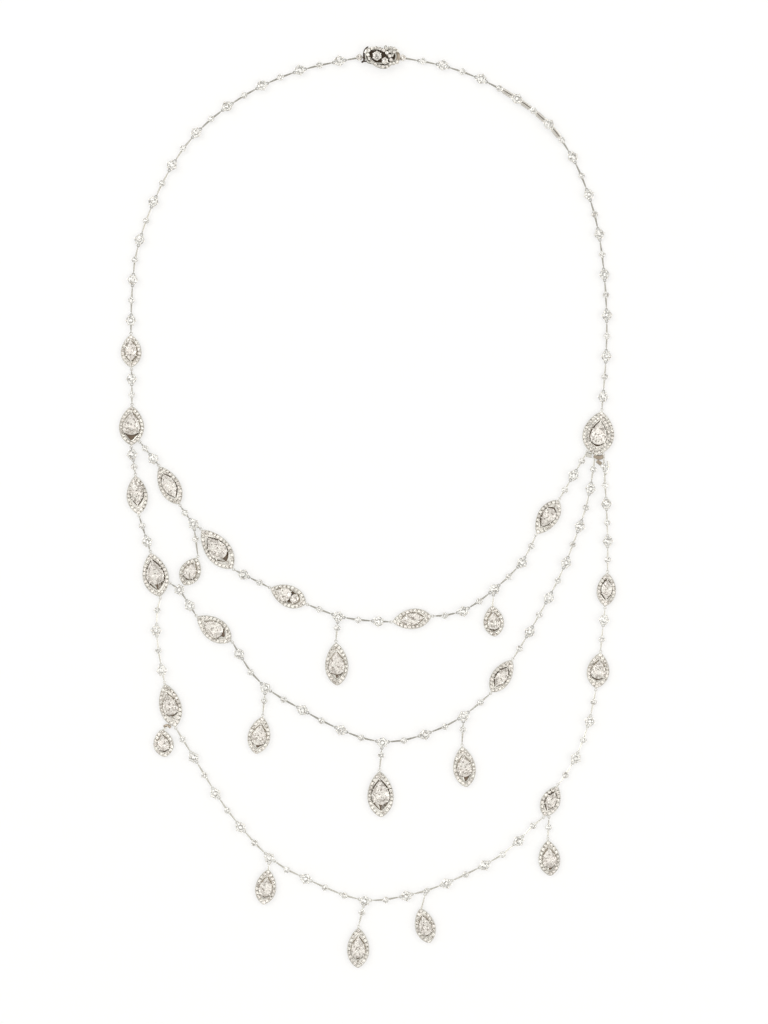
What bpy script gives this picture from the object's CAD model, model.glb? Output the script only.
import bmesh
import bpy
import math
import random
from collections import namedtuple
from mathutils import Matrix, Vector


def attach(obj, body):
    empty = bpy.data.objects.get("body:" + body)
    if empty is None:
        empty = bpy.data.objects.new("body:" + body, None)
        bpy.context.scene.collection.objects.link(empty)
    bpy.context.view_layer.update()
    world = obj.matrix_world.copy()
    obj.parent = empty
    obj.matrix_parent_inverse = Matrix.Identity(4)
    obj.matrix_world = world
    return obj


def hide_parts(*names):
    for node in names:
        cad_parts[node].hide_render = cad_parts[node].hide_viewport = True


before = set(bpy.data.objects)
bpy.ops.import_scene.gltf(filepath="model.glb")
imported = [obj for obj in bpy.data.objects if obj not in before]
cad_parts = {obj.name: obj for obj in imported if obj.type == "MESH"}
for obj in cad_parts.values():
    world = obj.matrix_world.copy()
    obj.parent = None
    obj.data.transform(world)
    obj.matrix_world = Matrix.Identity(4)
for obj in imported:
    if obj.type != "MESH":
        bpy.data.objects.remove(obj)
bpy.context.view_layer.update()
chance = random.Random(7)
scene = bpy.context.scene

MM = 0.001
# Round diamonds, large and small: their diameters, and the claws that hold one
DIAMETER = {"L": 2.6, "S": 1.7}
CLAWS = {"L": 6, "S": 4}
# Links: their height, a ring's radius and wire, and how far a ring hangs from the eye that holds it
LINK_Z = 0.75
RING_R = 0.36
WIRE_R = 0.1
RING_STEP = 0.425
# An eye's way out from a diamond's edge, the room at a stretch's end in steps between its stations, and how
# far down a drop its small station sits
EYE_GAP = 0.25
END_GAP = 0.62
DROP_SHARE = 0.47
# Halo diamonds: their pitch, the radius of a cup, the share of it that a cup keeps in a double halo, and how
# many of its radii the second row is further in
HALO_PITCH = 1.08
CUP_R = 0.59
DOUBLE_CUP = 0.88
ROW_STEP = 1.85
# Heights of the halo diamonds and of a centre diamond's girdle, and an eye's way out from the halo
HALO_Z = 1.35
GIRDLE_Z = 1.95
EYE_OUT = CUP_R + 0.45
CLASP_MID = Vector((3.6, 121.4))
CLASP_ENDS = {"clasp_box": Vector((-2.2, 121.2)), "clasp_tongue": Vector((9.5, 121.1))}
# Outlines: how pointed a leaf is, how much fuller it is below its middle, how pointed a marquise is, and the
# half width that the pear's curve has before it is brought to size
LEAF_HOLLOW = 0.55
LEAF_FULLER = 0.16
MARQUISE_HOLLOW = 0.8
PEAR_WIDEST = 0.77

# Leaf-shaped clusters
Leaf = namedtuple("Leaf", "x y length width turn cut stone_length stone_width shift rows", defaults=[1])
LEAVES = {name: Leaf(*facts) for name, facts in {
    "side_leaf": (-63.7, 42, 8.8, 5.7, 1, "marquise", 5, 2.8, 0),
    "left_plaque": (-63.6, 21.9, 10.6, 6.9, -1, "pear", 5.7, 4.3, 0.6),
    "right_plaque": (62.3, 19.8, 12, 8.6, -8, "pear", 5.9, 4.1, 0.2, 2),
    "upper_leaf_1": (-53.4, 5.8, 11.4, 5.8, 28, "marquise", 6.4, 3.1, 0),
    "upper_leaf_2": (-40.5, -11.4, 13.2, 6.9, 39, "pear", 6.4, 4.3, 0.6),
    "upper_leaf_3": (-21.3, -24, 10.4, 6, 66, "duo", 4.4, 3.5, 0.8),
    "upper_leaf_4": (12, -30.2, 10.5, 5.6, 98, "marquise", 5.7, 2.9, 0),
    "upper_leaf_5": (48.6, -2.7, 10.8, 5.8, 147, "pear", 5.3, 3.3, 0.3),
    "middle_leaf_1": (-62.1, 3.2, 10.4, 5.8, 5, "marquise", 6.2, 3.1, 0.7),
    "middle_leaf_2": (-57.2, -18.3, 12, 7.1, 12, "pear", 6.2, 4.4, 0.8),
    "middle_leaf_3": (-41.3, -32.9, 11.2, 6.3, 54, "pear", 5.5, 3.8, 0.5),
    "middle_leaf_4": (36.2, -45.6, 10.2, 5.4, -33, "marquise", 5.4, 2.7, -0.2),
    "lower_leaf_1": (-53.2, -53.5, 11.8, 6.1, 14, "pear", 5.5, 3.6, 0.4),
    "lower_leaf_2": (49.4, -79.3, 8.8, 5.3, -24, "marquise", 4.6, 2.6, 0.1),
    "lower_leaf_3": (62.2, -44.1, 9.6, 6.2, -7, "pear", 4.7, 3.6, 0.4),
    "lower_leaf_4": (64.4, -22.3, 9, 5.3, -4, "marquise", 4.8, 2.6, 0.1),
    "upper_drop_1": (-47.7, -17.4, 8.2, 5.8, -26, "pear", 4.2, 3.1, 0.3),
    "upper_drop_2": (-8.3, -42.4, 11.6, 6.4, 2, "pear", 5.7, 3.9, 0.4),
    "upper_drop_3": (34, -30.8, 8.4, 5.7, 5, "pear", 4.4, 3.1, 0.2),
    "middle_drop_1": (-29.2, -61.6, 10.2, 6.2, -10, "pear", 5.2, 3.6, 0.3),
    "middle_drop_2": (3.5, -77.5, 12.4, 7.2, 2, "pear", 6.2, 4.5, 0.7),
    "middle_drop_3": (26.1, -70.1, 11, 6.2, 6, "pear", 5.4, 3.7, 0.4),
    "lower_drop_1": (-55, -63.7, 7.6, 5.6, 8, "pear", 3.9, 3, 0.2),
    "lower_drop_2": (-27.4, -102.5, 9.6, 5.8, -8, "pear", 4.9, 3.3, 0.3),
    "lower_drop_3": (-2.5, -118.9, 10.8, 6.1, -1, "pear", 5.3, 3.5, 0.4),
    "lower_drop_4": (15.5, -112.9, 9.7, 5.6, 15, "pear", 4.9, 3.1, 0.3),
    "lower_drop_5": (49, -94.7, 9.6, 6, 4, "pear", 4.9, 3.5, 0.3),
}.items()}

# Extra eyes on a frame's side: place round the halo from its top, and heading from +X
SIDE_EYES = {
    ("left_plaque", "side"): (142, -40),
    ("right_plaque", "left"): (212, -145),
    ("right_plaque", "middle"): (184, -98),
    ("right_plaque", "right"): (148, -68),
    ("middle_leaf_2", "side"): (114, -40),
    ("lower_leaf_1", "side"): (202, -155),
    ("lower_leaf_2", "side"): (158, -60),
}

# Stretches of chain: start eye, end eye, stations in order (L large, S small), points between the eyes
Stretch = namedtuple("Stretch", "start end kinds points", defaults=[()])
STRETCHES = {name: Stretch(*facts) for name, facts in {
    "back_left_1": ("clasp_box", ("side_leaf", "top"), "SLSLSLSLSLSLSLSLSLSL",
                    [(-19, 117.5), (-34, 110.5), (-47, 100), (-56, 86), (-62, 70), (-63.5, 58)]),
    "back_left_2": (("side_leaf", "bottom"), ("left_plaque", "top"), "LS"),
    "back_right_1": ("clasp_tongue", ("right_plaque", "top"), "SSLSLSLSLSLSLSLSLSLSLSL",
                     [(20.5, 119), (31, 115.2), (41, 109.5), (49, 103), (56, 93), (61.5, 78), (64, 61),
                      (64.5, 44)]),
    "upper_1": (("left_plaque", "side"), ("upper_leaf_1", "top"), "SL"),
    "upper_2": (("upper_leaf_1", "bottom"), ("upper_leaf_2", "top"), "SL", [(-47.5, -4)]),
    "upper_3": (("upper_leaf_2", "bottom"), ("upper_leaf_3", "top"), "LS"),
    "upper_4": (("upper_leaf_3", "bottom"), ("upper_leaf_4", "top"), "SLSL", [(-8, -29.5), (-2, -30.5)]),
    "upper_5": (("upper_leaf_4", "bottom"), ("upper_leaf_5", "top"), "SLSLSLS",
                [(25, -28.5), (33, -23.2), (41.5, -15.2)]),
    "upper_6": (("upper_leaf_5", "bottom"), ("right_plaque", "left"), "SLS"),
    "middle_1": (("left_plaque", "bottom"), ("middle_leaf_1", "top"), "LS"),
    "middle_2": (("middle_leaf_1", "bottom"), ("middle_leaf_2", "top"), "SL"),
    "middle_3": (("middle_leaf_2", "side"), ("middle_leaf_3", "top"), "LL", [(-50.9, -22)]),
    "middle_4": (("middle_leaf_3", "bottom"), ("middle_leaf_4", "bottom"), "LSLSLSLSLSLSLS",
                 [(-31.5, -44.5), (-26.5, -49.5), (-17, -55), (-7.5, -60), (4, -63.5), (15, -61.5),
                  (25, -57)]),
    "middle_5": (("middle_leaf_4", "top"), ("right_plaque", "middle"), "SLSLSLSLSLS",
                 [(43.5, -34), (51.5, -19.5), (56, -8.5), (59.5, 2)]),
    "lower_1": (("middle_leaf_2", "bottom"), ("lower_leaf_1", "top"), "SLSL", [(-57, -30), (-56.5, -38)]),
    "lower_2": (("lower_leaf_1", "bottom"), ("lower_leaf_2", "bottom"), "SLSLSLSLSLSSLSLSLSLSLS",
                [(-46.5, -68), (-38, -81.5), (-26.5, -94.5), (-17, -100), (-2, -106), (9.5, -105), (20, -102),
                 (36, -94), (44, -86.5)]),
    "lower_3": (("lower_leaf_2", "top"), ("lower_leaf_3", "bottom"), "SLSLS", [(55.5, -69), (59.5, -59)]),
    "lower_4": (("lower_leaf_3", "top"), ("lower_leaf_4", "bottom"), "SL"),
    "lower_5": (("lower_leaf_4", "top"), ("right_plaque", "right"), "SLSLSS", [(64.7, -6)]),
}.items()}
# Links of the right back chain that are broad and grooved: stretch, and the station that each follows
WIDE_LINKS = {"back_right_1": (5, 6, 7, 8)}

# Drops: what one hangs from (a stretch and its station, or a frame and its side eye), small stations between
Drop = namedtuple("Drop", "host at between")
DROPS = {name: Drop(*facts) for name, facts in {
    "upper_drop_1": ("upper_2", 1, 1),
    "upper_drop_2": ("upper_4", 1, 1),
    "upper_drop_3": ("upper_5", 3, 0),
    "middle_drop_1": ("middle_4", 2, 1),
    "middle_drop_2": ("middle_4", 8, 1),
    "middle_drop_3": ("middle_4", 12, 1),
    "lower_drop_1": ("lower_leaf_1", "side", 0),
    "lower_drop_2": ("lower_2", 7, 0),
    "lower_drop_3": ("lower_2", 12, 1),
    "lower_drop_4": ("lower_2", 15, 0),
    "lower_drop_5": ("lower_leaf_2", "side", 1),
}.items()}

# Chains, and how the names of their stretches and drops start
CHAINS = {"back_chain_left": "back_left", "back_chain_right": "back_right", "upper_chain": "upper",
          "middle_chain": "middle", "lower_chain": "lower"}
# Groups of clusters that share their pieces
CLUSTER_GROUPS = ("side_leaf", "left_plaque", "right_plaque", "upper_leaves", "middle_leaves", "lower_leaves",
                  "upper_drops", "middle_drops", "lower_drops")


# Places, as in the part

def sin_cos(degrees):
    return math.sin(math.radians(degrees)), math.cos(math.radians(degrees))


def heading(degrees):
    s, c = sin_cos(degrees)
    return Vector((c, s))


def turned(point, degrees):
    s, c = sin_cos(degrees)
    return Vector((point[0] * c - point[1] * s, point[0] * s + point[1] * c))


def angle_of(v):
    return math.degrees(math.atan2(v[1], v[0]))


def run_lengths(points):
    run = [0.0]
    for a, b in zip(points, points[1:]):
        run.append(run[-1] + (b - a).length)
    return run


def at_run(points, run, s):
    for i in range(len(points) - 1):
        if s <= run[i + 1] or i == len(points) - 2:
            share = (s - run[i]) / max(run[i + 1] - run[i], 1e-9)
            return points[i].lerp(points[i + 1], max(0.0, min(1.0, share)))


def spread_round(edge, count):
    """Points at even steps round a closed outline."""
    run = run_lengths(edge)
    return [at_run(edge, run, run[-1] * i / count) for i in range(count)]


def smooth(points):
    """A smooth curve through points, with eight steps between two of them."""
    points = [Vector(p) for p in points]
    curve = []
    last = len(points) - 1
    for i in range(last):
        a, b, c, d = points[max(i - 1, 0)], points[i], points[i + 1], points[min(i + 2, last)]
        for k in range(8):
            t = k / 8
            curve.append(0.5 * (2 * b + (c - a) * t + (2 * a - 5 * b + 4 * c - d) * t * t
                                + (3 * b - a - 3 * c + d) * t * t * t))
    return curve + [points[last]]


def leaf_edge(size, t):
    s, c = sin_cos(t)
    return Vector((size[0] * s * abs(s) ** LEAF_HOLLOW * (1 - LEAF_FULLER * c), size[1] * c))


def stone_edge(cut, size, t):
    s, c = sin_cos(t)
    if cut == "marquise":
        return Vector((size[0] * s * abs(s) ** MARQUISE_HOLLOW, size[1] * c))
    if cut == "round":
        return Vector((size[0] * s, size[1] * c))
    return Vector((size[0] * s * sin_cos(t / 2)[0] / PEAR_WIDEST, size[1] * c))


def placed(name, point):
    leaf = LEAVES[name]
    return Vector((leaf.x, leaf.y)) + turned(point, leaf.turn)


def halo_cup(name):
    return CUP_R * DOUBLE_CUP if LEAVES[name].rows == 2 else CUP_R


def halo_size(name, row=0):
    leaf = LEAVES[name]
    inset = halo_cup(name) * (1 + row * ROW_STEP)
    return (leaf.width / 2 - inset, leaf.length / 2 - inset)


def halo_points(name, row):
    edge = [leaf_edge(halo_size(name, row), i * 5) for i in range(73)]
    length = run_lengths(edge)[-1]
    return spread_round(edge, 2 * math.floor(length / HALO_PITCH / 2 * CUP_R / halo_cup(name) + 0.5))


def eye_root(name, eye):
    """Where an eye's bar leaves the halo."""
    half = halo_size(name)
    if eye in ("top", "bottom"):
        return placed(name, (0, half[1] if eye == "top" else -half[1]))
    return placed(name, leaf_edge(half, SIDE_EYES[name, eye][0]))


def eye_at(name, eye):
    reach = halo_size(name)[1] + EYE_OUT
    if eye in ("top", "bottom"):
        return placed(name, (0, reach if eye == "top" else -reach))
    return eye_root(name, eye) + EYE_OUT * heading(SIDE_EYES[name, eye][1])


def start_of(name):
    start = STRETCHES[name].start
    return CLASP_ENDS[start] if start in CLASP_ENDS else eye_at(*start)


def stations_of(name):
    stretch = STRETCHES[name]
    route = smooth([start_of(name), *stretch.points, eye_at(*stretch.end)])
    run = run_lengths(route)
    count = len(stretch.kinds)
    lead = 0 if stretch.start in CLASP_ENDS else END_GAP
    pitch = run[-1] / (count - 1 + lead + END_GAP)
    return [at_run(route, run, (lead + i) * pitch) for i in range(count)]


def eye_reach(kind):
    return DIAMETER[kind] / 2 + EYE_GAP


def eye_towards(place, kind, target):
    return place + eye_reach(kind) * (target - place).normalized()


def carries(kinds, i, j):
    return i < j if kinds[i] == kinds[j] else kinds[i] == "S"


def drop_host(name):
    drop = DROPS[name]
    return eye_at(drop.host, drop.at) if drop.host in LEAVES else stations_of(drop.host)[drop.at]


def host_eye(name, target):
    drop = DROPS[name]
    if drop.host in LEAVES:
        return drop_host(name)
    return eye_towards(drop_host(name), STRETCHES[drop.host].kinds[drop.at], target)


def drop_station(name):
    return drop_host(name).lerp(eye_at(name, "top"), DROP_SHARE)


# Making shapes

def shown(name, data):
    """An object in the scene."""
    made = bpy.data.objects.new(name, data)
    scene.collection.objects.link(made)
    return made


def mesh_of(bm, name="shape"):
    mesh = bpy.data.meshes.new(name)
    bm.to_mesh(mesh)
    bm.free()
    return mesh


def pour(bm, shape, place):
    """A copy of the shape, put in its place in a bmesh."""
    copy = shape.copy()
    copy.transform(place)
    bm.from_mesh(copy)
    bpy.data.meshes.remove(copy)


class Piece:
    """A piece in the making. Shapes are added to it in millimetres."""

    def __init__(self, name, material):
        self.name = name
        self.material = material
        self.slot = "diamond" if material.name.startswith("diamond") else "white_gold"
        self.bm = bmesh.new()

    def add(self, shape, place=Matrix()):
        pour(self.bm, shape, place)

    def finish(self, *nodes, sharp=30):
        bmesh.ops.scale(self.bm, vec=(MM, MM, MM), verts=self.bm.verts)
        mesh = mesh_of(self.bm, self.name)
        mesh.materials.append(self.material)
        if self.slot == "white_gold":
            mesh.shade_smooth()
            mesh.set_sharp_from_angle(angle=math.radians(sharp))
        piece = shown(self.name, mesh)
        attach(piece, "root")
        if nodes:
            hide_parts(*nodes)


# Pieces of a cluster or the clasp, and pieces of a chain
Kit = namedtuple("Kit", "metal cups inside hollows stones centres")
ChainKit = namedtuple("ChainKit", "wires claws dark stones")


def kept(bm):
    """The shape as a mesh, with its faces looking outwards."""
    bmesh.ops.recalc_face_normals(bm, faces=bm.faces)
    if bm.calc_volume(signed=True) < 0:
        bmesh.ops.reverse_faces(bm, faces=bm.faces)
    return mesh_of(bm)


def joined(*shapes):
    """Shapes and their places, as one shape."""
    bm = bmesh.new()
    for shape, place in shapes:
        pour(bm, shape, place)
    return mesh_of(bm)


def at(x, y, z=0.0, turn=0.0, size=1.0):
    return Matrix.Translation((x, y, z)) @ Matrix.Rotation(math.radians(turn), 4, "Z") @ Matrix.Scale(size, 4)


def only(kind, geometry):
    return [g for g in geometry if isinstance(g, kind)]


def lathe(profile, steps):
    """A closed profile of (radius, height) points, turned about the upright axis."""
    bm = bmesh.new()
    points = [bm.verts.new((r, 0, z)) for r, z in profile]
    edges = [bm.edges.new(pair) for pair in zip(points, points[1:] + points[:1])]
    bmesh.ops.spin(bm, geom=points + edges, cent=(0, 0, 0), axis=(0, 0, 1), angle=math.tau, steps=steps,
                   use_merge=True)
    bmesh.ops.remove_doubles(bm, verts=bm.verts, dist=1e-5)
    return kept(bm)


def rod(a, b, start, end=None, sides=6):
    """A straight wire from a to b. Its radius is start, or goes from start to end."""
    a, b = Vector(a), Vector(b)
    bm = bmesh.new()
    place = Matrix.Translation((a + b) / 2) @ (b - a).to_track_quat("Z", "Y").to_matrix().to_4x4()
    bmesh.ops.create_cone(bm, cap_ends=True, segments=sides, radius1=start,
                          radius2=start if end is None else end, depth=(b - a).length, matrix=place)
    return kept(bm)


def bead(radius, flat=1.0, u=8, v=4):
    bm = bmesh.new()
    bmesh.ops.create_uvsphere(bm, u_segments=u, v_segments=v, radius=radius,
                              matrix=Matrix.Diagonal((1, 1, flat, 1)))
    return kept(bm)


def rounded_block(size, edge):
    bm = bmesh.new()
    bmesh.ops.create_cube(bm, size=1, matrix=Matrix.Diagonal((*size, 1)))
    bmesh.ops.bevel(bm, geom=bm.edges[:], offset=edge, segments=2, profile=0.5, affect="EDGES", material=-1)
    return kept(bm)


def along(edge, profile):
    """Profile points (way out, height) that all follow one outline."""
    return [(edge, out, z) for out, z in profile]


def loop_band(profile, steps):
    """A closed band round its middle. Each profile point is (outline that it follows, way out, height)."""
    bm = bmesh.new()
    place = bm.verts.layers.float.new("place")
    first = bmesh.ops.create_circle(bm, segments=steps, radius=1)["verts"]
    for k, v in enumerate(first):
        v[place] = (k + 0.5) * 360 / steps
    edges = list(bm.edges)

    def settle(verts, edge, out, z):
        for v in verts:
            p = edge(v[place])
            side = (edge(v[place] + 0.5) - edge(v[place] - 0.5)).orthogonal().normalized()
            if side.dot(p) < 0:
                side = -side
            v.co = (*(p + out * side), z)

    settle(first, *profile[0])
    for point in profile[1:] + profile[:1]:
        grown = bmesh.ops.extrude_edge_only(bm, edges=edges)["geom"]
        settle(only(bmesh.types.BMVert, grown), *point)
        edges = only(bmesh.types.BMEdge, grown)
    bmesh.ops.remove_doubles(bm, verts=bm.verts, dist=1e-4)
    return kept(bm)


def bent_wire(points, radius, sides=8, flat=1.0):
    """A wire through points, round, or flattened across its height."""
    points = [Vector(p) for p in points]
    last = len(points) - 1
    bm = bmesh.new()

    def frame_of(k):
        way = (points[min(k + 1, last)] - points[max(k - 1, 0)]).normalized()
        side = way.cross(Vector((0, 0, 1))).normalized()
        up = side.cross(way)
        turn = Matrix((side, up * flat, way)).transposed().to_4x4()
        return Matrix.Translation(points[k]) @ turn

    start = bmesh.ops.create_circle(bm, segments=sides, radius=radius, cap_ends=True)["verts"]
    bmesh.ops.transform(bm, matrix=frame_of(0), verts=start)
    edges = list(bm.edges)
    for k in range(1, last + 1):
        grown = bmesh.ops.extrude_edge_only(bm, edges=edges)["geom"]
        bmesh.ops.transform(bm, matrix=frame_of(k) @ frame_of(k - 1).inverted(),
                            verts=only(bmesh.types.BMVert, grown))
        edges = only(bmesh.types.BMEdge, grown)
    bmesh.ops.edgeloop_fill(bm, edges=edges)
    return kept(bm)


# Cutting diamonds: a block is cut facet by facet, as a real stone is

# How bright a facet is, picked by chance: the table, the ring round it, the star facets and all below
FACET_LIGHTS = [(0.99, (1.0,)), (0.97, (0.0, 0.0, 0.35, 1.0)), (0.925, (0.2, 0.5, 0.8, 1.0)),
                (-2, (0.3, 0.65, 1.0, 1.0))]
# Shares of a stone's size: the block's, half the girdle, the lowest point of a pear, and corners that merge
BLOCK = 1.2
HALF_GIRDLE = 0.03
PEAR_CULET = -0.14
SAME_CORNER = 2e-4
# How far inside the table's edge the star facets start
STAR_INSET = 0.02
# Degrees: slope of the star facets and of the ring on the table, and an edge that is as good as flat
STAR_SLOPE = 20
RING_SLOPE = 11
FLAT_EDGE = 0.4
# Break facets: how near the girdle's middle they start, and how steep they are above and below it
BREAK_START = 0.6
BREAK_CROWN = 1.24
BREAK_PAVILION = 0.93


def facet(bm, point, normal):
    cut = bmesh.ops.bisect_plane(bm, geom=bm.verts[:] + bm.edges[:] + bm.faces[:], dist=1e-5, plane_co=point,
                                 plane_no=normal, clear_outer=True)
    edges = [edge for edge in only(bmesh.types.BMEdge, cut["geom_cut"]) if edge.is_boundary]
    if edges:
        bmesh.ops.edgeloop_fill(bm, edges=edges)


def cut_diamond(cut, size, mains=8, table=0.56, crown=0.16, pavilion=0.4, simple=False, ring=None, glow=1.0):
    """A faceted diamond with its girdle at height 0. size is its width and length."""
    half = (size[0] / 2, size[1] / 2)
    wide = min(size)
    outline = [stone_edge(cut, half, t) for t in range(0, 360, 3)]
    culet = Vector((0, PEAR_CULET * size[1] if cut == "pear" else 0, -pavilion * wide))
    top = crown * wide
    rim = HALF_GIRDLE * wide

    def way(t):
        ahead = stone_edge(cut, half, t + 2) - stone_edge(cut, half, t - 2)
        n = Vector((ahead.y, -ahead.x)).normalized()
        return n if n.dot(stone_edge(cut, half, t)) > 0 else -n

    def reach(n):
        return max(p.dot(n) for p in outline)

    def crown_facet(n, height, steep=1.0):
        drop = (top - rim) / (1 - table) * steep
        facet(bm, (*(n * reach(n)), height), (n.x * drop, n.y * drop, reach(n)))

    def pavilion_facet(n, height, steep=1.0):
        fall = -(reach(n) - culet.xy.dot(n)) * steep
        facet(bm, (*(n * reach(n)), height), (-n.x * culet.z, -n.y * culet.z, fall))

    def table_facet(n, share, slope):
        s, c = sin_cos(slope)
        facet(bm, (*(n * reach(n) * share), top), (n.x * s, n.y * s, c))

    bm = bmesh.new()
    bmesh.ops.create_cube(bm, size=1, matrix=Matrix.Diagonal((*[s * BLOCK for s in (*size, wide)], 1)))
    step = 360 / mains
    corners = [way((k + 0.5) * step) for k in range(mains)]
    sides = corners if simple else [way((k + 0.5) * step / 2) for k in range(mains * 2)]
    for n in sides:
        facet(bm, (*(n * reach(n)), 0), (n.x, n.y, 0))
    facet(bm, (0, 0, top), (0, 0, 1))
    for k, n in enumerate(corners):
        crown_facet(n, rim)
        pavilion_facet(n, -rim)
        if not simple:
            table_facet(way((k + 1) * step), table - STAR_INSET, STAR_SLOPE)
    if ring:
        for n in corners:
            table_facet(n, ring, RING_SLOPE)
    if not simple:
        for n in sides:
            crown_facet(n, rim * BREAK_START, BREAK_CROWN)
            pavilion_facet(n, -rim * BREAK_START, BREAK_PAVILION)
    bmesh.ops.remove_doubles(bm, verts=bm.verts, dist=SAME_CORNER * wide)
    bmesh.ops.delete(bm, geom=bm.edges[:] + bm.faces[:], context="EDGES_FACES")
    bmesh.ops.convex_hull(bm, input=bm.verts)
    bmesh.ops.dissolve_limit(bm, angle_limit=math.radians(FLAT_EDGE), verts=bm.verts, edges=bm.edges)
    bmesh.ops.delete(bm, geom=[v for v in bm.verts if not v.link_faces], context="VERTS")
    bmesh.ops.recalc_face_normals(bm, faces=bm.faces)
    light = bm.faces.layers.float.new("facet_light")
    for face in bm.faces:
        lights = next(lights for steepest, lights in FACET_LIGHTS if face.normal.z > steepest)
        face[light] = chance.choice(lights) * glow
    return kept(bm)


halo_diamonds = [cut_diamond("round", (1, 1), table=0.55, crown=0.2, pavilion=0.42, simple=True, glow=glow)
                 for glow in (1.0, 1.0, 1.0, 1.0, 1.0, 0.8)]
round_diamonds = [cut_diamond("round", (1, 1), table=0.48, ring=0.3) for k in range(8)]
plain_diamond = cut_diamond("round", (1, 1))


# Materials

class Value:
    """A socket that takes part in shader maths."""

    def __init__(self, nodes, socket):
        self.nodes = nodes
        self.socket = socket

    def maths(self, operation, *inputs, clamp=False):
        return self.nodes.node("ShaderNodeMath", {"operation": operation, "use_clamp": clamp}, inputs)

    def __add__(self, other):
        return self.maths("ADD", self, other)

    def __sub__(self, other):
        return self.maths("SUBTRACT", self, other)

    def __rsub__(self, other):
        return self.maths("SUBTRACT", other, self)

    def __mul__(self, other):
        return self.maths("MULTIPLY", self, other)

    __radd__ = __add__
    __rmul__ = __mul__

    def clamped(self):
        return self.maths("ADD", self, 0.0, clamp=True)


class Nodes:
    """Nodes of a material or a sky, made one after the other."""

    def __init__(self, tree):
        self.tree = tree

    def feed(self, socket, value):
        if isinstance(value, Value):
            self.tree.links.new(value.socket, socket)
        else:
            socket.default_value = value

    def node(self, kind, settings, inputs, output=0):
        made = self.tree.nodes.new(kind)
        for key, value in settings.items():
            if key == "stops":
                for k, (where, colour) in enumerate(value):
                    stop = made.color_ramp.elements[k] if k < 2 else made.color_ramp.elements.new(where)
                    stop.position = where
                    stop.color = (*colour, 1)
            else:
                setattr(made, key, value)
        for key, value in inputs.items() if isinstance(inputs, dict) else enumerate(inputs):
            self.feed(made.inputs[key], value)
        return Value(self, made.outputs[output])


class Finish(Nodes):
    """The finish of one material."""

    def __init__(self, name):
        self.material = bpy.data.materials.new(name)
        self.material.use_nodes = True
        super().__init__(self.material.node_tree)
        self.place = self.node("ShaderNodeTexCoord", {}, {}, output="Object")

    def noise(self, scale, detail, roughness):
        return self.node("ShaderNodeTexNoise", {}, {"Vector": self.place, "Scale": scale, "Detail": detail,
                                                    "Roughness": roughness}, output="Fac")

    def voronoi(self, scale, output):
        return self.node("ShaderNodeTexVoronoi", {}, {"Vector": self.place, "Scale": scale}, output=output)

    def cells(self, scale):
        """A plain grey for each cell of a broken pattern."""
        cell = self.voronoi(scale, "Position")
        return self.node("ShaderNodeTexWhiteNoise", {}, {"Vector": cell}, output="Value")

    def mix(self, share, *colours):
        a, b = [(*c, 1) if isinstance(c, tuple) else c for c in colours]
        return self.node("ShaderNodeMix", {"data_type": "RGBA"}, {0: share, 6: a, 7: b}, output=2)

    def bump(self, height, strength, distance):
        return self.node("ShaderNodeBump", {}, {"Height": height, "Strength": strength, "Distance": distance},
                         output="Normal")

    def shade(self, **sockets):
        surface = self.tree.nodes["Principled BSDF"]
        for name, value in sockets.items():
            self.feed(surface.inputs[name.replace("_", " ")], value)
        return self.material


def gold(name, low, high, patches, rough, grain, bump, wear=None):
    """White metal in two tones. patches and wear are a noise's scale, detail and roughness, rough is the
    least roughness and its spread, and bump is the strength and depth of the grain."""
    f = Finish(name)
    cloud = f.noise(*patches)
    uneven = f.noise(*wear) if wear else cloud
    return f.shade(Base_Color=f.mix(cloud, low, high), Metallic=1.0, Roughness=rough[0] + uneven * rough[1],
                   Normal=f.bump(f.noise(grain, 2, 0.6), *bump))


def cut_stone(name, rosy, green, dark, fleck_tone=(0.3, 0.26, 0.215), fleck_from=0.85):
    """Diamond with light and dark facets, small flecks and broken reflections."""
    f = Finish(name)
    facet_light = f.node("ShaderNodeAttribute", {"attribute_name": "facet_light"}, {}, output="Fac")
    flash = f.cells(2600)
    fleck = (flash - fleck_from).clamped() * 12.0
    body = f.mix(f.cells(1500), rosy, green)
    tone = f.mix(facet_light, dark, f.mix(fleck.clamped(), body, fleck_tone))
    breaks = f.voronoi(1900.0, "Distance")
    return f.shade(Base_Color=tone, Roughness=0.0 + flash * 0.02, IOR=2.42, Transmission_Weight=0.7,
                   Normal=f.bump(breaks, 0.5, 0.0001), Emission_Color=tone, Emission_Strength=0.18)


GOLD = gold("white_gold", (0.80, 0.78, 0.73), (0.92, 0.905, 0.86), (160, 2, 0.5), (0.1, 0.16), 2600,
            (0.12, 0.00004), wear=(900, 3, 0.6))
DARK_GOLD = gold("white_gold_inside", (0.34, 0.285, 0.225), (0.53, 0.465, 0.385), (420, 3, 0.6), (0.3, 0.2),
                 2200, (0.2, 0.00006))
SOFT_GOLD = gold("white_gold_brushed", (0.5, 0.485, 0.44), (0.7, 0.685, 0.635), (420, 2, 0.5), (0.2, 0.16),
                 2400, (0.15, 0.00004))
LINK_GOLD = gold("white_gold_wire", (0.42, 0.41, 0.375), (0.6, 0.59, 0.545), (300, 2, 0.5), (0.18, 0.16),
                 2400, (0.15, 0.00004))
PALE_GOLD = gold("white_gold_pale_wire", (0.6, 0.59, 0.545), (0.8, 0.79, 0.74), (300, 2, 0.5), (0.18, 0.16),
                 2400, (0.15, 0.00004))
DEEP_GOLD = gold("white_gold_deep", (0.03, 0.021, 0.014), (0.1, 0.074, 0.055), (700, 3, 0.6), (0.4, 0.2),
                 2200, (0.2, 0.00006))
SHADOW_GOLD = gold("white_gold_shadow", (0.1, 0.076, 0.056), (0.26, 0.202, 0.155), (700, 3, 0.6),
                   (0.35, 0.2), 2200, (0.2, 0.00006))
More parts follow.
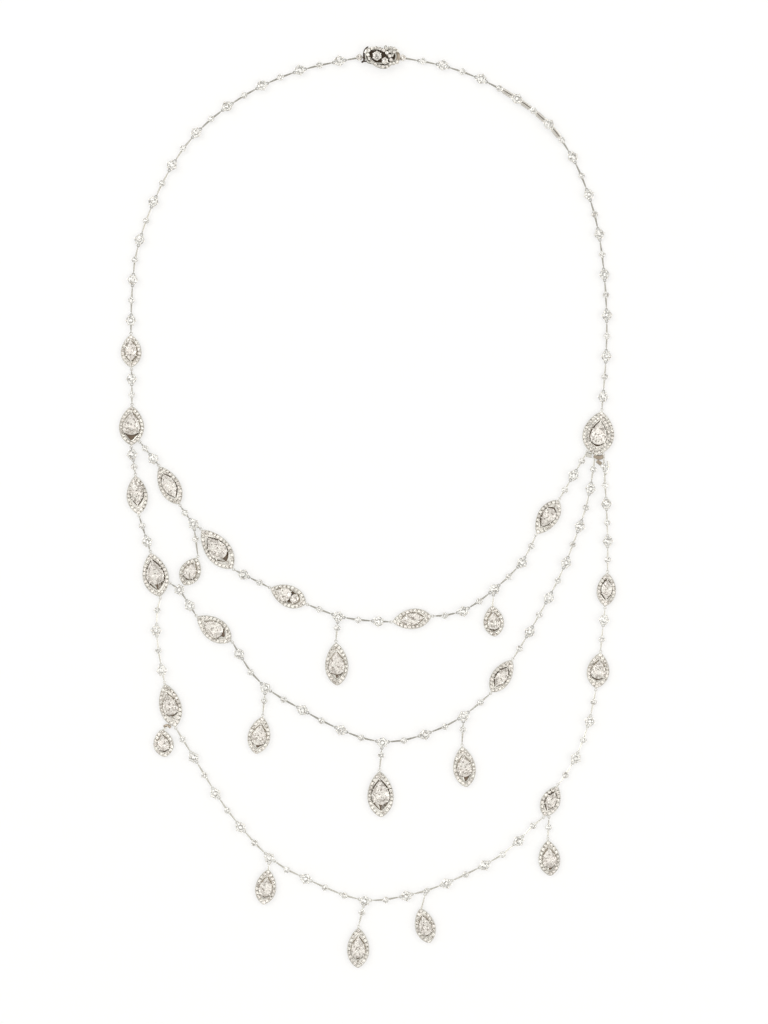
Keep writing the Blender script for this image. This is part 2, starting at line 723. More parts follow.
DIAMOND = cut_stone("diamond", (1.0, 0.95, 0.91), (0.95, 0.95, 0.89), (0.34, 0.3, 0.255))
CENTRE_DIAMOND = cut_stone("diamond_centre", (1.0, 0.95, 0.91), (0.95, 0.95, 0.89), (0.3, 0.265, 0.225),
                           (0.2, 0.17, 0.14), 0.77)
LINK_DIAMOND = cut_stone("diamond_round", (1.0, 0.985, 0.96), (0.94, 0.95, 0.92), (0.24, 0.235, 0.215))


# Links and round stations

# Where the bar to an eye leaves a station's middle
BAR_START = {"L": 0.84, "S": 0.6}
# Broad links: height of their rails, then each rail's way out and radius, and the same for the grooves
BROAD_Z = 1.36
BROAD_RAILS = ((-0.52, 0.15), (-0.2, 0.15), (0.42, 0.26))
BROAD_GROOVES = ((0.08, 0.08), (-0.36, 0.05))
# An edge counts as sharp above this angle on the chains' wires
WIRE_SHARP = 50

ring = lathe([(RING_R + WIRE_R * math.cos(math.tau * k / 6), WIRE_R * math.sin(math.tau * k / 6))
              for k in range(6)], 14)
upright = Matrix.Rotation(math.radians(90), 4, "X")
claw_bead = bead(1.0, 0.75, 8, 5)
shade_bead = bead(0.12, 0.6)


def seat_z(kind):
    return 0.62 + 0.28 * DIAMETER[kind]


def claw_turns(kind):
    first = 0.5 if kind == "L" else 0
    return [Matrix.Rotation(math.tau * (k + first) / CLAWS[kind], 4, "Z") for k in range(CLAWS[kind])]


def claws_round(kind, claw, tip, shape):
    """Every claw round a diamond, each with a bead of a shape for its tip."""
    return [part for turn in claw_turns(kind) for part in ((claw, turn), (claw_bead, turn @ tip @ shape))]


def basket(kind):
    """Gallery rings and claw feet of a round diamond's open setting."""
    d, z = DIAMETER[kind], seat_z(kind)
    wire = 0.062 * d
    foot_ring = lathe([(0.24 * d, 0.0), (0.34 * d, 0.0), (0.35 * d, 0.2), (0.25 * d, 0.2)], 16)
    seat_ring = lathe([(0.34 * d, z - 0.5), (0.42 * d, z - 0.5), (0.5 * d, z - 0.08), (0.46 * d, z - 0.02),
                       (0.37 * d, z - 0.16)], 18)
    leg = rod((0.29 * d, 0, 0.09), (0.46 * d, 0, z - 0.25), wire * 1.1, wire)
    return joined((foot_ring, Matrix()), (seat_ring, Matrix()), *[(leg, turn) for turn in claw_turns(kind)])


def claw_ring(kind):
    """The claws that bend over a round diamond's edge."""
    d, z = DIAMETER[kind], seat_z(kind)
    wire = 0.07 * d
    claw = rod((0.46 * d, 0, z - 0.27), (0.53 * d, 0, z + 0.1 * d), wire, wire * 1.05)
    tip = at(0.485 * d, 0, z + 0.115 * d) @ Matrix.Rotation(math.radians(35), 4, "Y")
    return joined(*claws_round(kind, claw, tip, Matrix.Diagonal((0.115 * d, 0.085 * d, 0.07 * d, 1))))


baskets = {kind: basket(kind) for kind in "LS"}
claw_rings = {kind: claw_ring(kind) for kind in "LS"}


def add_bar(piece, place, way, start, end, spread=0.14):
    """A bar of two wires side by side with a groove between them, closer together at its far end."""
    side = way.orthogonal()
    a, b = place + way * start, place + way * end
    for out in (-1, 1):
        p, q = a + side * out * spread, b + side * out * spread * 0.6
        piece.add(rod((*p, LINK_Z), (*q, LINK_Z), 0.12, 0.1))
    piece.add(rod((*a, LINK_Z - 0.08), (*b, LINK_Z - 0.08), 0.1))


def add_eye(wires, place, target, kind):
    way = (target - place).normalized()
    middle = place + eye_reach(kind) * way
    add_bar(wires, place, way, BAR_START[kind], eye_reach(kind) - RING_R)
    wires.add(ring, at(*middle, LINK_Z))


def add_arm(wires, rings, place, eye, root):
    way = (eye - place).normalized()
    reach = (eye - place).length - RING_STEP
    add_bar(wires, place, way, root, reach - RING_R, 0.17)
    rings.add(ring, at(*(place + way * reach), LINK_Z, angle_of(way)) @ upright)


def add_station(kit, place, kind, turn, eyes, arms):
    """A round diamond in its setting, with eyes towards some places and arms that reach others."""
    d = DIAMETER[kind]
    kit.wires.add(baskets[kind], at(*place, 0, turn))
    for k in range(2):
        off = d * chance.uniform(0.1, 0.2)
        spot = Vector((off, 0)) @ Matrix.Rotation(math.radians(chance.uniform(0, 360)), 2)
        kit.dark.add(shade_bead, at(*(place + spot), seat_z(kind) - 0.42 * d, 0, d))
    kit.claws.add(claw_rings[kind], at(*place, 0, turn))
    gem = chance.choice(round_diamonds)
    kit.stones.add(gem, at(*place, seat_z(kind) + 0.02 * d, chance.uniform(0, 45), d * 0.97))
    for target in eyes:
        add_eye(kit.wires, place, target, kind)
    for target in arms:
        add_arm(kit.wires, kit.wires, place, target, 0.28 * d)


def add_broad_link(kit, a, b, kind_a, kind_b):
    """Broad grooved link that lies over the wire between two stations."""
    way = (b - a).normalized()
    side = way.orthogonal()
    start = a + way * (eye_reach(kind_a) - 0.3)
    end = b - way * (eye_reach(kind_b) - 0.3)
    span = (end - start).length
    for off, wire in BROAD_RAILS:
        route = [start + side * off * 0.7, start + way * span * 0.2 + side * off,
                 start + way * span * 0.8 + side * off, end + side * off * 0.7]
        kit.claws.add(bent_wire(smooth([(*p, BROAD_Z) for p in route]), wire, 6))
    for middle in (start, end):
        tip, heel = middle + side * 0.38, middle - side * 0.38
        kit.claws.add(rod((*tip, BROAD_Z), (*heel, BROAD_Z), 0.13))
    kit.wires.add(rounded_block((span * 0.7, 1.1, 0.15), 0.05), at(*((start + end) / 2), 0.1, angle_of(way)))
    for off, wire in BROAD_GROOVES:
        p, q = start + way * span * 0.12 + side * off, end - way * span * 0.12 + side * off
        kit.dark.add(rod((*p, BROAD_Z - 0.04), (*q, BROAD_Z - 0.04), wire))


def add_stretch(kit, name):
    """The stations of a stretch and the links between them. The clasp makes the station at its own end."""
    stretch = STRETCHES[name]
    places, kinds = stations_of(name), stretch.kinds
    last = len(kinds) - 1
    for i in range(1 if stretch.start in CLASP_ENDS else 0, last + 1):
        beside = [j for j in (i - 1, i + 1) if 0 <= j <= last]
        eyes = [places[j] for j in beside if not carries(kinds, i, j)]
        eyes += [drop_station(hung) if drop.between else eye_at(hung, "top") for hung, drop in DROPS.items()
                 if (drop.host, drop.at) == (name, i)]
        arms = [eye_towards(places[j], kinds[j], places[i]) for j in beside if carries(kinds, i, j)]
        if i == 0:
            arms.append(start_of(name))
        if i == last:
            arms.append(eye_at(*stretch.end))
        if i in WIDE_LINKS.get(name, ()):
            add_broad_link(kit, places[i], places[i + 1], kinds[i], kinds[i + 1])
        before = max(i, 1)
        add_station(kit, places[i], kinds[i], angle_of(places[before] - places[before - 1]), eyes, arms)


def make_chain(chain, start):
    kit = ChainKit(Piece(chain + "_wires", PALE_GOLD if chain == "lower_chain" else LINK_GOLD),
                   Piece(chain + "_claws", GOLD), Piece(chain + "_grooves", SHADOW_GOLD),
                   Piece(chain + "_diamonds", LINK_DIAMOND))
    for name in STRETCHES:
        if name.startswith(start):
            add_stretch(kit, name)
    for name, drop in DROPS.items():
        if name.startswith(start) and drop.between:
            place, top = drop_station(name), eye_at(name, "top")
            add_station(kit, place, "S", angle_of(top - place), [], [host_eye(name, place), top])
    kit.wires.finish(chain, sharp=WIRE_SHARP)
    kit.dark.finish(chain)
    kit.claws.finish(chain)
    kit.stones.finish(chain)


# Leaf clusters

# Gap round a centre diamond: at its foot, and at its top unless its dark outline is strong there
STONE_GAP = 0.22
TOP_GAP = 0.06
# How far inside the halo it stays, across and up, and at how many degrees from the top it is as wide as at
# its foot
GAP_INSET = (0.34, 0.5)
GAP_WIDE = 130
# Clusters with a strong dark outline, and those with ribs below their pear
OUTLINED = ("right_plaque", "middle_drop_2", "upper_leaf_1", "upper_leaf_2", "upper_leaf_5", "middle_leaf_1",
            "middle_leaf_2", "middle_leaf_4", "lower_leaf_2", "lower_leaf_4")
RIBBED = ("middle_drop_2", "middle_leaf_2", "upper_drop_2")
# How far the gap below a pear-cut diamond reaches, the usual reach, and the reaches with a bright blade
V_REACH = {"left_plaque": 1.9, "right_plaque": 0.5, "middle_drop_2": 1.5, "middle_drop_3": 1.6,
           "upper_drop_2": 1.4, "middle_leaf_2": 1.5, "middle_leaf_3": 1.3, "upper_leaf_2": 1.2,
           "lower_drop_5": 1.1, "middle_drop_1": 1.1, "upper_leaf_5": 0.5}
USUAL_REACH = 0.8
BLADE_REACH = (1, 1.9)
# Degrees from the top where a gap starts to leave the diamond's edge for the leaf's, and how many it takes
V_FROM = {"pear": 122, "duo": 95, "marquise": 180}
V_OVER = 45
# The halo's cups are finer here than in the part and stand further out, and the centre diamonds are larger
FINE_CUP = 0.88
HALO_SHIFT = 0.07
CENTRE_GROWTH = 1.08
# Leaf with two diamonds: how far they are shifted, the round one's size, the step between them, and how low
# their gap reaches
DUO_SHIFT = 0.8
DUO_ROUND = (2.5, 2.2)
DUO_STEP = 1.2
DUO_LOW = 3.4
# Small diamonds: their size in cup radii, how far they tilt, where the beads between them stand, and how many
# of those are dark
STONE_SHARE = 1.66
TILT = 0.06
BEAD_OUT = 0.72
DARK_BEADS = 0.4
# Heights of the cups' foot, of the ledge round a centre diamond and of the gallery's cross wires
CUP_FOOT = 0.62
LEDGE_Z = 1.16
CROSS_Z = 0.9
# Step of the beads on the gap's edge, and the largest cups that fill the tips above and below it
EDGE_PITCH = 0.38
TOP_CUP = 0.45
FOOT_CUP = 0.42
# Steps round a halo, a gap and a centre diamond
HALO_STEPS = 56
GAP_STEPS = 72
SEAT_STEPS = 48
# Brightness of the centre diamonds
GLOW = 0.84
# Claws of a centre diamond, in degrees from its point
CENTRE_CLAWS = {"marquise": (0, 65, 115, 180, 245, 295), "round": (90, 270), "pear": (0, 75, 140, 220, 285)}

halo_bead = bead(0.12, 0.9)
claw_tip = bead(1.0, 0.8, 8, 5)
edge_bead = bead(0.1, 1.0, 6, 4)


def halo_setting(r):
    """Cup of a halo diamond, with its bright-cut rim."""
    return lathe([(r * 0.5, CUP_FOOT), (r * 0.7, CUP_FOOT), (r * 0.98, 0.82), (r * 0.98, HALO_Z - 0.1),
                  (r * 0.95, HALO_Z - 0.02), (r * 0.87, HALO_Z - 0.02), (r * 0.84, HALO_Z - 0.3)], 12)


def stones_in(name):
    """Cut, size and shift of each centre diamond."""
    leaf = LEAVES[name]
    size = (leaf.stone_width, leaf.stone_length)
    if leaf.cut == "duo":
        shift = leaf.shift + DUO_SHIFT
        return [("pear", size, shift), ("round", DUO_ROUND, shift - size[1] / 2 - DUO_STEP)]
    return [(leaf.cut, (size[0] * CENTRE_GROWTH, size[1] * CENTRE_GROWTH), leaf.shift)]


def pave_row(kit, points, r, z, place, closed=True, dark=None):
    """A row of small diamonds in cups, with beads between them, some of them dark."""
    cup = halo_setting(r)
    for k, p in enumerate(points):
        here = place @ at(*p, z - HALO_Z)
        kit.cups.add(cup, here)
        tilt = Matrix.Rotation(chance.uniform(-TILT, TILT), 4, "X")
        tilt = tilt @ Matrix.Rotation(chance.uniform(-TILT, TILT), 4, "Y")
        gem = chance.choice(halo_diamonds)
        turn = at(0, 0, 0, chance.uniform(0, 45), r * STONE_SHARE)
        kit.stones.add(gem, here @ at(0, 0, HALO_Z - 0.02) @ tilt @ turn)
        if not closed and k == len(points) - 1:
            break
        following = points[(k + 1) % len(points)]
        out = (following - p).normalized().orthogonal()
        for side in (-1, 1):
            owner = dark if dark and chance.random() < DARK_BEADS else kit.metal
            owner.add(halo_bead, place @ at(*((p + following) / 2 + out * side * r * BEAD_OUT), z))


def opening_of(name, inner):
    """Outline of the gap round a centre diamond: close at its sides, and a V below a pear."""
    cut = LEAVES[name].cut
    first_cut, size, shift = stones_in(name)[0]
    half = (size[0] / 2, size[1] / 2)
    top = inner[1] - GAP_INSET[1]
    low = DUO_LOW if cut == "duo" else min(top, half[1] - shift + V_REACH.get(name, USUAL_REACH))

    def edge(t):
        lower = sin_cos(t)[1] < 0 and cut != "marquise"
        leaf = leaf_edge((inner[0] - GAP_INSET[0], low if lower else top), t)
        stone = stone_edge(first_cut, half, t)
        away = abs((t + 180) % 360 - 180)
        gap = STONE_GAP if name in OUTLINED else TOP_GAP + (STONE_GAP - TOP_GAP) * min(1.0, away / GAP_WIDE)
        stone = stone + stone.normalized() * gap + Vector((0, shift))
        share = max(0.0, min(1.0, (away - V_FROM[cut]) / V_OVER))
        mixed = stone.lerp(leaf, share * share * (3 - 2 * share))
        return mixed * min(1.0, 0.99 * leaf.length / max(mixed.length, 1e-6))

    return edge


def add_halo(kit, name, row, here):
    """One row of halo diamonds on two open rails, with its posts and foot ring."""
    r = halo_cup(name) * FINE_CUP
    points = halo_points(name, row)
    points = [p + (points[k - 1] - points[(k + 1) % len(points)]).normalized().orthogonal() * HALO_SHIFT
              for k, p in enumerate(points)]
    pave_row(kit, points, r, HALO_Z, here, dark=kit.hollows if name in OUTLINED else kit.inside)
    for p in points[::2]:
        kit.inside.add(rod((*p, 0.05), (*p, 0.7), 0.2), here)
    edge = lambda t: leaf_edge(halo_size(name, row), t)
    foot = [(-0.2, 0.0), (0.2, 0.0), (0.24, 0.14), (0.2, 0.26), (-0.2, 0.26), (-0.24, 0.14)]
    kit.inside.add(loop_band(along(edge, foot), HALO_STEPS), here)
    for out in (HALO_SHIFT - r * 0.66, HALO_SHIFT + r * 0.66):
        rail = [(out - 0.1, CUP_FOOT), (out + 0.1, CUP_FOOT), (out + 0.13, 0.9), (out + 0.1, 1.2),
                (out - 0.1, 1.2), (out - 0.13, 0.9)]
        kit.cups.add(loop_band(along(edge, rail), HALO_STEPS), here)


def add_gap(kit, name, here, inner, opening):
    """Dark outline round the centre diamond, beads on its edge, and the small diamonds that fill the tips."""
    floor = kit.hollows if name in OUTLINED else kit.cups
    trough = [(-0.24, 0.94), (0.05, 0.96), (0.05, 1.06), (-0.22, 1.0)]
    floor.add(loop_band(along(opening, trough), GAP_STEPS), here)
    verge = [opening(k * 3) for k in range(121)]
    for p in spread_round(verge, int(run_lengths(verge)[-1] / EDGE_PITCH)):
        kit.metal.add(edge_bead, here @ at(*(p + p.normalized() * 0.12), LEDGE_Z + 0.06))
    r = halo_cup(name) * FINE_CUP
    top, foot = opening(0).y, opening(180).y
    tip_room = inner[1] - r - top
    if tip_room > TOP_CUP:
        size = min(TOP_CUP, tip_room * 0.5)
        pave_row(kit, [Vector((0, top + size * 1.1))], size, HALO_Z - 0.02, here, False)
    foot_room = inner[1] - r + foot
    filled = 0.0
    while foot_room - filled > 0.5:
        size = min(FOOT_CUP, (foot_room - filled) * 0.5)
        pave_row(kit, [Vector((0, foot - filled - size * 1.1))], size, HALO_Z - 0.02, here, False)
        filled += size * 2.1


def add_pear_foot(kit, name, here, opening):
    """What is seen in the V below a pear: a dark arc or outline, a bright blade and ribs."""
    leaf = LEAVES[name]
    base = leaf.shift - leaf.stone_length / 2 * CENTRE_GROWTH
    wide = abs(opening(140).x)
    foot = opening(180).y
    flat = here @ Matrix.Diagonal((1, 1, 0.2, 1))
    if name not in OUTLINED:
        half = [side / 2 + 0.1 for side in stones_in(name)[0][1]]
        under = [stone_edge("pear", half, t) for t in range(132, 229, 8)]
        kit.hollows.add(bent_wire([(p.x, p.y + leaf.shift, LEDGE_Z) for p in under], 0.11, 6), here)
    kit.hollows.add(rod((0, base + 0.8, 4.0), (0, foot + 0.05, 4.2), wide * 0.95, 0.25, 8), flat)
    if BLADE_REACH[0] < V_REACH.get(name, USUAL_REACH) < BLADE_REACH[1]:
        kit.cups.add(rod((-wide * 0.75, base + 0.8, 4.9), (-0.35, foot + 0.25, 5.0), 0.5, 0.1, 8), flat)
    if name in RIBBED:
        for share in (0.3, 0.6, 0.9):
            rib = rod((wide * share, base + 0.5, 1.08), (wide * share * 0.4, foot + 0.2, 1.04), 0.05, sides=5)
            kit.metal.add(rib, here)


def add_centre(kit, here, cut, size, inner, glow):
    """A centre diamond with its seat, its claws and the wires that carry it."""
    half = (size[0] / 2, size[1] / 2)
    top = GIRDLE_Z - 0.22
    edge = lambda t: stone_edge(cut, half, t)
    seat = [(-0.5, 0.72), (-0.28, 0.72), (-0.02, top), (-0.16, top + 0.02), (-0.3, top - 0.2)]
    kit.inside.add(loop_band(along(edge, seat), SEAT_STEPS), here)
    for t in CENTRE_CLAWS[cut]:
        p = edge(t)
        out = p.normalized()
        foot, knee = p - out * 0.2, p + out * 0.12
        kit.metal.add(rod((*foot, 0.8), (*knee, GIRDLE_Z - 0.1), 0.15, 0.13), here)
        kit.metal.add(rod((*knee, GIRDLE_Z - 0.14), (*knee, GIRDLE_Z + 0.12), 0.13), here)
        lie = at(*(p + out * 0.02), GIRDLE_Z + 0.14, angle_of(out))
        kit.metal.add(claw_tip, here @ lie @ Matrix.Diagonal((0.26, 0.15, 0.13, 1)))
    gem = cut_diamond(cut, size, mains=12 if cut != "round" else 8, pavilion=0.36, glow=glow)
    kit.centres.add(gem, here @ at(0, 0, GIRDLE_Z))
    for side in (-1, 1):
        root, tip = side * (half[0] - 0.3), side * inner[0]
        kit.inside.add(rod((root, -size[1] * 0.1, CROSS_Z), (tip, -size[1] * 0.1, CROSS_Z), 0.16), here)


def add_cluster(kit, name):
    leaf = LEAVES[name]
    here = at(leaf.x, leaf.y, 0, leaf.turn)
    r = halo_cup(name)
    for row in range(leaf.rows):
        add_halo(kit, name, row, here)
    inner = halo_size(name, leaf.rows - 1)
    rim = lambda t: leaf_edge(inner, t)
    middle = lambda t: rim(t) * 0.4
    floor = [(rim, -r * 0.5, 0.8), (middle, 0, 0.5), (middle, 0, 0.36), (rim, -r * 0.5, 0.66)]
    kit.inside.add(loop_band(floor, HALO_STEPS), here)
    opening = opening_of(name, inner)
    ledge = [(rim, -r * 0.4, HALO_Z - 0.12), (opening, 0.12, LEDGE_Z), (opening, 0.05, LEDGE_Z + 0.06),
             (opening, 0, LEDGE_Z), (opening, 0, 1.0), (rim, -r * 0.4, HALO_Z - 0.3)]
    kit.metal.add(loop_band(ledge, GAP_STEPS), here)
    add_gap(kit, name, here, inner, opening)
    if leaf.cut == "pear":
        add_pear_foot(kit, name, here, opening)
    if leaf.cut == "duo":
        kit.hollows.add(rod((-1.5, -0.6, 1.25), (1.5, -0.75, 1.25), 0.22), here)
    for cut, size, shift in stones_in(name):
        add_centre(kit, here @ at(0, shift), cut, size, inner, 1.0 if name == "right_plaque" else GLOW)
    hung = name in DROPS
    top, tip = eye_at(name, "top"), eye_root(name, "top")
    eyes = ["top"] + [eye for owner, eye in SIDE_EYES if owner == name]
    if hung and not DROPS[name].between:
        add_arm(kit.cups, kit.metal, tip, host_eye(name, top), r * 0.8)
        eyes.remove("top")
    if not hung and name != "right_plaque":
        eyes.append("bottom")
    for eye in eyes:
        place, root = eye_at(name, eye), eye_root(name, eye)
        kit.metal.add(ring, at(*place, LINK_Z))
        add_bar(kit.cups, root, (place - root).normalized(), r * 0.6, EYE_OUT - RING_R)


def add_plaque_bar(kit):
    """Curved bar under the right plaque, from which the three rows hang, and its bent wire."""
    for piece, radius, flat, points in [
        (kit.cups, 0.62, 0.5, [(58.9, 14.4, 0.6), (59.7, 14.0, 0.62), (60.5, 13.9, 0.62)]),
        (kit.inside, 0.6, 0.5, [(61, 13.7, 0.6), (61.9, 13.45, 0.62), (62.9, 13.4, 0.62), (63.7, 13.8, 0.6)]),
        (kit.inside, 0.5, 0.5, [(61.9, 12.5, 0.42), (62.5, 12.0, 0.42), (63.1, 11.5, 0.42)]),
        (kit.cups, 0.2, 1.0, [(64.7, 12.4, 0.62), (65.0, 11.2, 0.5), (64.9, 10.0, 0.4), (64.4, 8.9, 0.3),
                              (63.7, 8.1, 0.24)]),
    ]:
        piece.add(bent_wire(smooth(points), radius, flat=flat))


def add_bail(kit):
    """Bail of the drop that hangs beside the left leaf of the lower row."""
    points = [(-54.9, -59.3, 0.5), (-54.3, -58.9, 0.8), (-53.6, -59.0, 0.95), (-53.1, -59.5, 0.8)]
    kit.inside.add(bent_wire(smooth(points), 0.36, flat=0.7))


for group in CLUSTER_GROUPS:
    start = group.replace("leaves", "leaf").replace("drops", "drop")
    names = [name for name in LEAVES if name.startswith(start)]
    kit = Kit(Piece(group + "_settings", GOLD), Piece(group + "_cups", PALE_GOLD),
              Piece(group + "_galleries", DARK_GOLD), Piece(group + "_hollows", SHADOW_GOLD),
              Piece(group + "_diamonds", DIAMOND), Piece(group + "_centre_diamonds", CENTRE_DIAMOND))
    for name in names:
        add_cluster(kit, name)
    if group == "right_plaque":
        add_plaque_bar(kit)
    if group == "lower_drops":
        add_bail(kit)
    for piece in (kit.metal, kit.cups, kit.inside, kit.hollows):
        if piece.bm.verts:
            piece.finish(*[name + "_frame" for name in names])
    own = [name + "_stone" for name in names] + [start + "_stones"]
    own = [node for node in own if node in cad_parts]
    kit.stones.finish(*own)
    kit.centres.finish(*own)

for chain, start in CHAINS.items():
    make_chain(chain, start)


# Clasp: an oval ring and a scroll of small diamonds on an openwork box

CLASP_L = 9.0
CLASP_W = 4.6
CLASP_TOP = 2.28
CLASP_CUP = 0.48
CLASP_STEPS = 64
# The box's rim stands in from the part's by this much all round, and its posts by a little more
BOX_INSET = 0.25
POST_INSET = 0.13
# Oval of small diamonds round the two large ones: its middle, half size, turn and number
OVAL_MID = Vector((-0.36, -0.39))
OVAL_HALF = (3.4, 2.2)
OVAL_TURN = -31
OVAL_COUNT = 16
# Rows of small diamonds on the right, and the two large ones with their diameters
SCROLLS = [[(1.61, 1.94), (2.58, 2.15), (3.56, 1.99), (4.42, 1.4)],
           [(2.48, 1.21), (3.45, 0.99), (2.96, 0.13)], [(3.45, -2.01), (4.42, -1.68)]]
CLASP_ROUNDS = [(-1.04, 0.0, 2.35), (1.13, -1.36, 1.7)]


def box_edge(t):
    """Round-ended plan of the box."""
    across, up = sin_cos(t)
    wide = CLASP_W - 2 * BOX_INSET
    flat = (CLASP_L - 2 * BOX_INSET - wide) / 2
    return Vector((across * wide / 2 + flat * max(-1.0, min(1.0, across * 1.6)), up * wide / 2))


def oval_edge(t):
    s, c = sin_cos(t)
    return OVAL_MID + turned((OVAL_HALF[0] * c, OVAL_HALF[1] * s), OVAL_TURN)


def round_cup():
    """Claws and ring round a diamond of diameter 1 on the clasp."""
    cup = lathe([(0.34, -0.42), (0.42, -0.42), (0.5, -0.06), (0.45, -0.02), (0.36, -0.2)], 18)
    claw = rod((0.46, 0, -0.3), (0.52, 0, 0.1), 0.06)
    shape = Matrix.Diagonal((0.1, 0.08, 0.07, 1))
    return joined((cup, Matrix()), *claws_round("L", claw, at(0.48, 0, 0.1), shape))


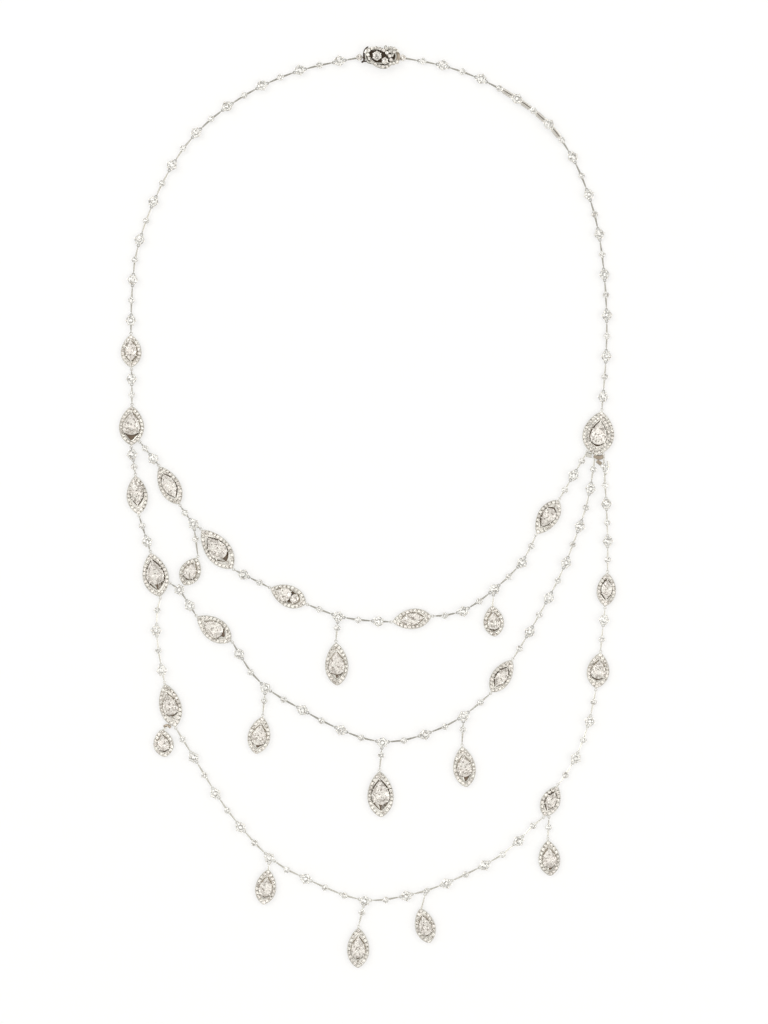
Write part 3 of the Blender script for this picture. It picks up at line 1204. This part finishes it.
def make_clasp():
    metal = Piece("clasp_settings", GOLD)
    inside = Piece("clasp_gallery", DEEP_GOLD)
    walls = Piece("clasp_walls", SOFT_GOLD)
    links = Piece("clasp_link", LINK_GOLD)
    stones = Piece("clasp_diamonds", CENTRE_DIAMOND)
    kit = Kit(metal, walls, inside, inside, stones, stones)
    here = at(*CLASP_MID)
    core = lambda t: box_edge(t) * 0.55
    heart = lambda t: box_edge(t) * 0.05
    bottom = lambda t: OVAL_MID + (oval_edge(t) - OVAL_MID) * 0.1

    def rail(low, high):
        return along(box_edge, [(-0.3, low), (0.0, low), (0.06, (low + high) / 2), (0.0, high), (-0.3, high)])

    for piece, profile in [
        (walls, rail(0.0, 0.32)),
        (walls, rail(1.35, 1.7)),
        (inside, [(box_edge, -0.42, 0.1), (box_edge, -0.42, 1.5), (core, 0, 1.15), (core, 0, 0.1)]),
        (inside, [(box_edge, -0.28, 1.36), (box_edge, -0.28, 1.48), (heart, 0, 1.48), (heart, 0, 1.36)]),
        (inside, [(oval_edge, -0.4, 1.5), (oval_edge, -0.4, 1.6), (bottom, 0, 1.6), (bottom, 0, 1.5)]),
        (walls, along(oval_edge, [(-0.22, 1.6), (0.22, 1.6), (0.26, 1.72), (0.22, 1.84), (-0.22, 1.84)])),
        (walls, along(oval_edge, [(-0.16, 0.0), (0.16, 0.0), (0.16, 0.26), (-0.16, 0.26)])),
    ]:
        piece.add(loop_band(profile, CLASP_STEPS), here)
    for k in range(24):
        p = box_edge(k * 15 + 7.5)
        p = p - p.normalized() * POST_INSET
        walls.add(rod((*p, 0.2), (*p, 1.5), 0.1), here)
    ring_points = spread_round([oval_edge(k * 3) for k in range(121)], OVAL_COUNT)
    pave_row(kit, ring_points, CLASP_CUP, CLASP_TOP, here, dark=inside)
    for p in ring_points:
        walls.add(rod((*p, 0.1), (*p, CLASP_TOP - 0.4), 0.14), here)
    for row in SCROLLS:
        points = [Vector(p) for p in row]
        pave_row(kit, points, CLASP_CUP, CLASP_TOP, here, closed=False, dark=inside)
        for a, b in zip(points, points[1:]):
            walls.add(rod((*a, CLASP_TOP - 0.5), (*b, CLASP_TOP - 0.5), 0.26, sides=8), here)
        for p in points:
            walls.add(rod((*p, 1.3), (*p, CLASP_TOP - 0.4), 0.16), here)
    cup = round_cup()
    for x, y, d in CLASP_ROUNDS:
        seat = here @ at(x, y, CLASP_TOP - 0.02, 0, d)
        stones.add(plain_diamond, seat)
        metal.add(cup, seat)
    for piece, radius, points in [
        (links, 0.15, [(0.95, 1.9, 1.55), (1.0, 2.5, 1.75), (1.3, 2.8, 1.8), (1.6, 2.5, 1.75),
                       (1.65, 1.9, 1.55)]),
        (metal, 0.18, [(-4.3, 0.9, 1.6), (-4.05, 1.6, 1.65), (-3.55, 2.05, 1.65), (-2.9, 2.3, 1.6)]),
        (inside, 0.17, [(-3.41, 2.56, 1.6), (-3.79, 2.34, 1.65), (-4.19, 1.94, 1.65), (-4.49, 1.4, 1.6),
                        (-4.57, 0.78, 1.55), (-4.57, 0.2, 1.5)]),
        (inside, 0.25, [(-4.54, 0.9, 1.5), (-4.57, 0.3, 1.5), (-4.56, -0.2, 1.5), (-4.52, -0.7, 1.5),
                        (-4.56, -1.15, 1.45), (-4.9, -1.45, 1.3), (-5.15, -1.5, 1.2)]),
        (inside, 0.18, [(-4.6, -1.3, 1.4), (-4.2, -1.35, 1.4), (-3.8, -1.3, 1.35)]),
        (walls, 0.18, [(2.9, -0.95, 1.85), (3.5, -1.2, 1.95), (4.1, -1.3, 1.95), (4.6, -1.1, 1.8)]),
    ]:
        piece.add(bent_wire(smooth(points), radius), here)
    box_end, tongue_end = CLASP_ENDS["clasp_box"], CLASP_ENDS["clasp_tongue"]
    next_eye = eye_towards(stations_of("back_left_1")[1], "L", box_end)
    add_station(ChainKit(links, metal, inside, stones), box_end, "S", 0, [], [next_eye])
    add_bar(links, box_end, Vector((1, 0)), 0.3, 1.6)
    links.finish("clasp_box", sharp=WIRE_SHARP)
    for piece in (inside, walls, metal):
        piece.finish("clasp_box")
    tongue = ChainKit(Piece("clasp_tongue_wires", LINK_GOLD), Piece("clasp_tongue_claws", GOLD),
                      Piece("clasp_tongue_plates", DARK_GOLD), stones)
    next_eye = eye_towards(stations_of("back_right_1")[1], "S", tongue_end)
    add_station(tongue, tongue_end, "S", 0, [], [next_eye])
    add_bar(tongue.wires, tongue_end, Vector((-1, 0)), 0.3, 1.4)
    for size, edge, x, z in [((0.5, 1.8, 1.5), 0.12, 0.38, 0.75), ((5.4, 2.3, 0.62), 0.1, -2.3, 0.95)]:
        tongue.dark.add(rounded_block(size, edge), at(CLASP_MID.x + CLASP_L / 2 + x, CLASP_MID.y, z))
    tongue.wires.finish("clasp_tongue", sharp=WIRE_SHARP)
    tongue.claws.finish("clasp_tongue")
    tongue.dark.finish("clasp_tongue")
    stones.finish("clasp_stones")


make_clasp()


# Studio

paper = Finish("paper")
paper_tone = paper.mix(paper.noise(1200, 2, 0.6), (0.36, 0.36, 0.355), (0.38, 0.38, 0.375))
paper.shade(Base_Color=paper_tone, Roughness=0.7, Emission_Color=(1, 1, 1, 1), Emission_Strength=0.6)
bm = bmesh.new()
bmesh.ops.create_grid(bm, x_segments=1, y_segments=1, size=2.0, matrix=Matrix.Translation((0, 0, -0.00002)))
floor = shown("floor", mesh_of(bm, "floor"))
floor.data.materials.append(paper.material)

scene.view_settings.view_transform = "Standard"
world = bpy.data.worlds.new("studio")
world.use_nodes = True
sky = Nodes(world.node_tree)
way_in = sky.node("ShaderNodeTexCoord", {}, {}, output="Generated")
panels = sky.node("ShaderNodeTexNoise", {}, {"Vector": way_in, "Scale": 9.0, "Detail": 1.0}, output="Fac")
tones = sky.node("ShaderNodeValToRGB", {"stops": [(0.38, (0.2, 0.185, 0.17)), (0.62, (1.0, 0.99, 0.97))]},
                 {"Fac": panels}, output="Color")
background = world.node_tree.nodes["Background"]
sky.feed(background.inputs["Color"], tones)
sky.feed(background.inputs["Strength"], 1.45)
scene.world = world


def softbox(name, place, size, power, tint=(1, 1, 1)):
    """A soft light that looks at the middle of the necklace."""
    light = bpy.data.lights.new(name, "AREA")
    light.shape = "RECTANGLE"
    light.size, light.size_y = size
    light.energy = power
    light.color = tint
    lamp = shown(name, light)
    lamp.location = place
    lamp.rotation_euler = (-Vector(place)).to_track_quat("-Z", "Y").to_euler()


softbox("softbox_left", (-0.9, 0.5, 1.1), (0.8, 0.8), 3.8)
softbox("softbox_right", (1.0, -0.2, 1.0), (0.6, 0.9), 3, (1, 0.98, 0.95))

camera_data = bpy.data.cameras.new("camera")
camera_data.lens = 85
camera_data.sensor_width = 36
camera_data.clip_start = 0.01
camera = shown("camera", camera_data)
camera.location = (0.004455, -0.00135, 0.6528)
scene.camera = camera
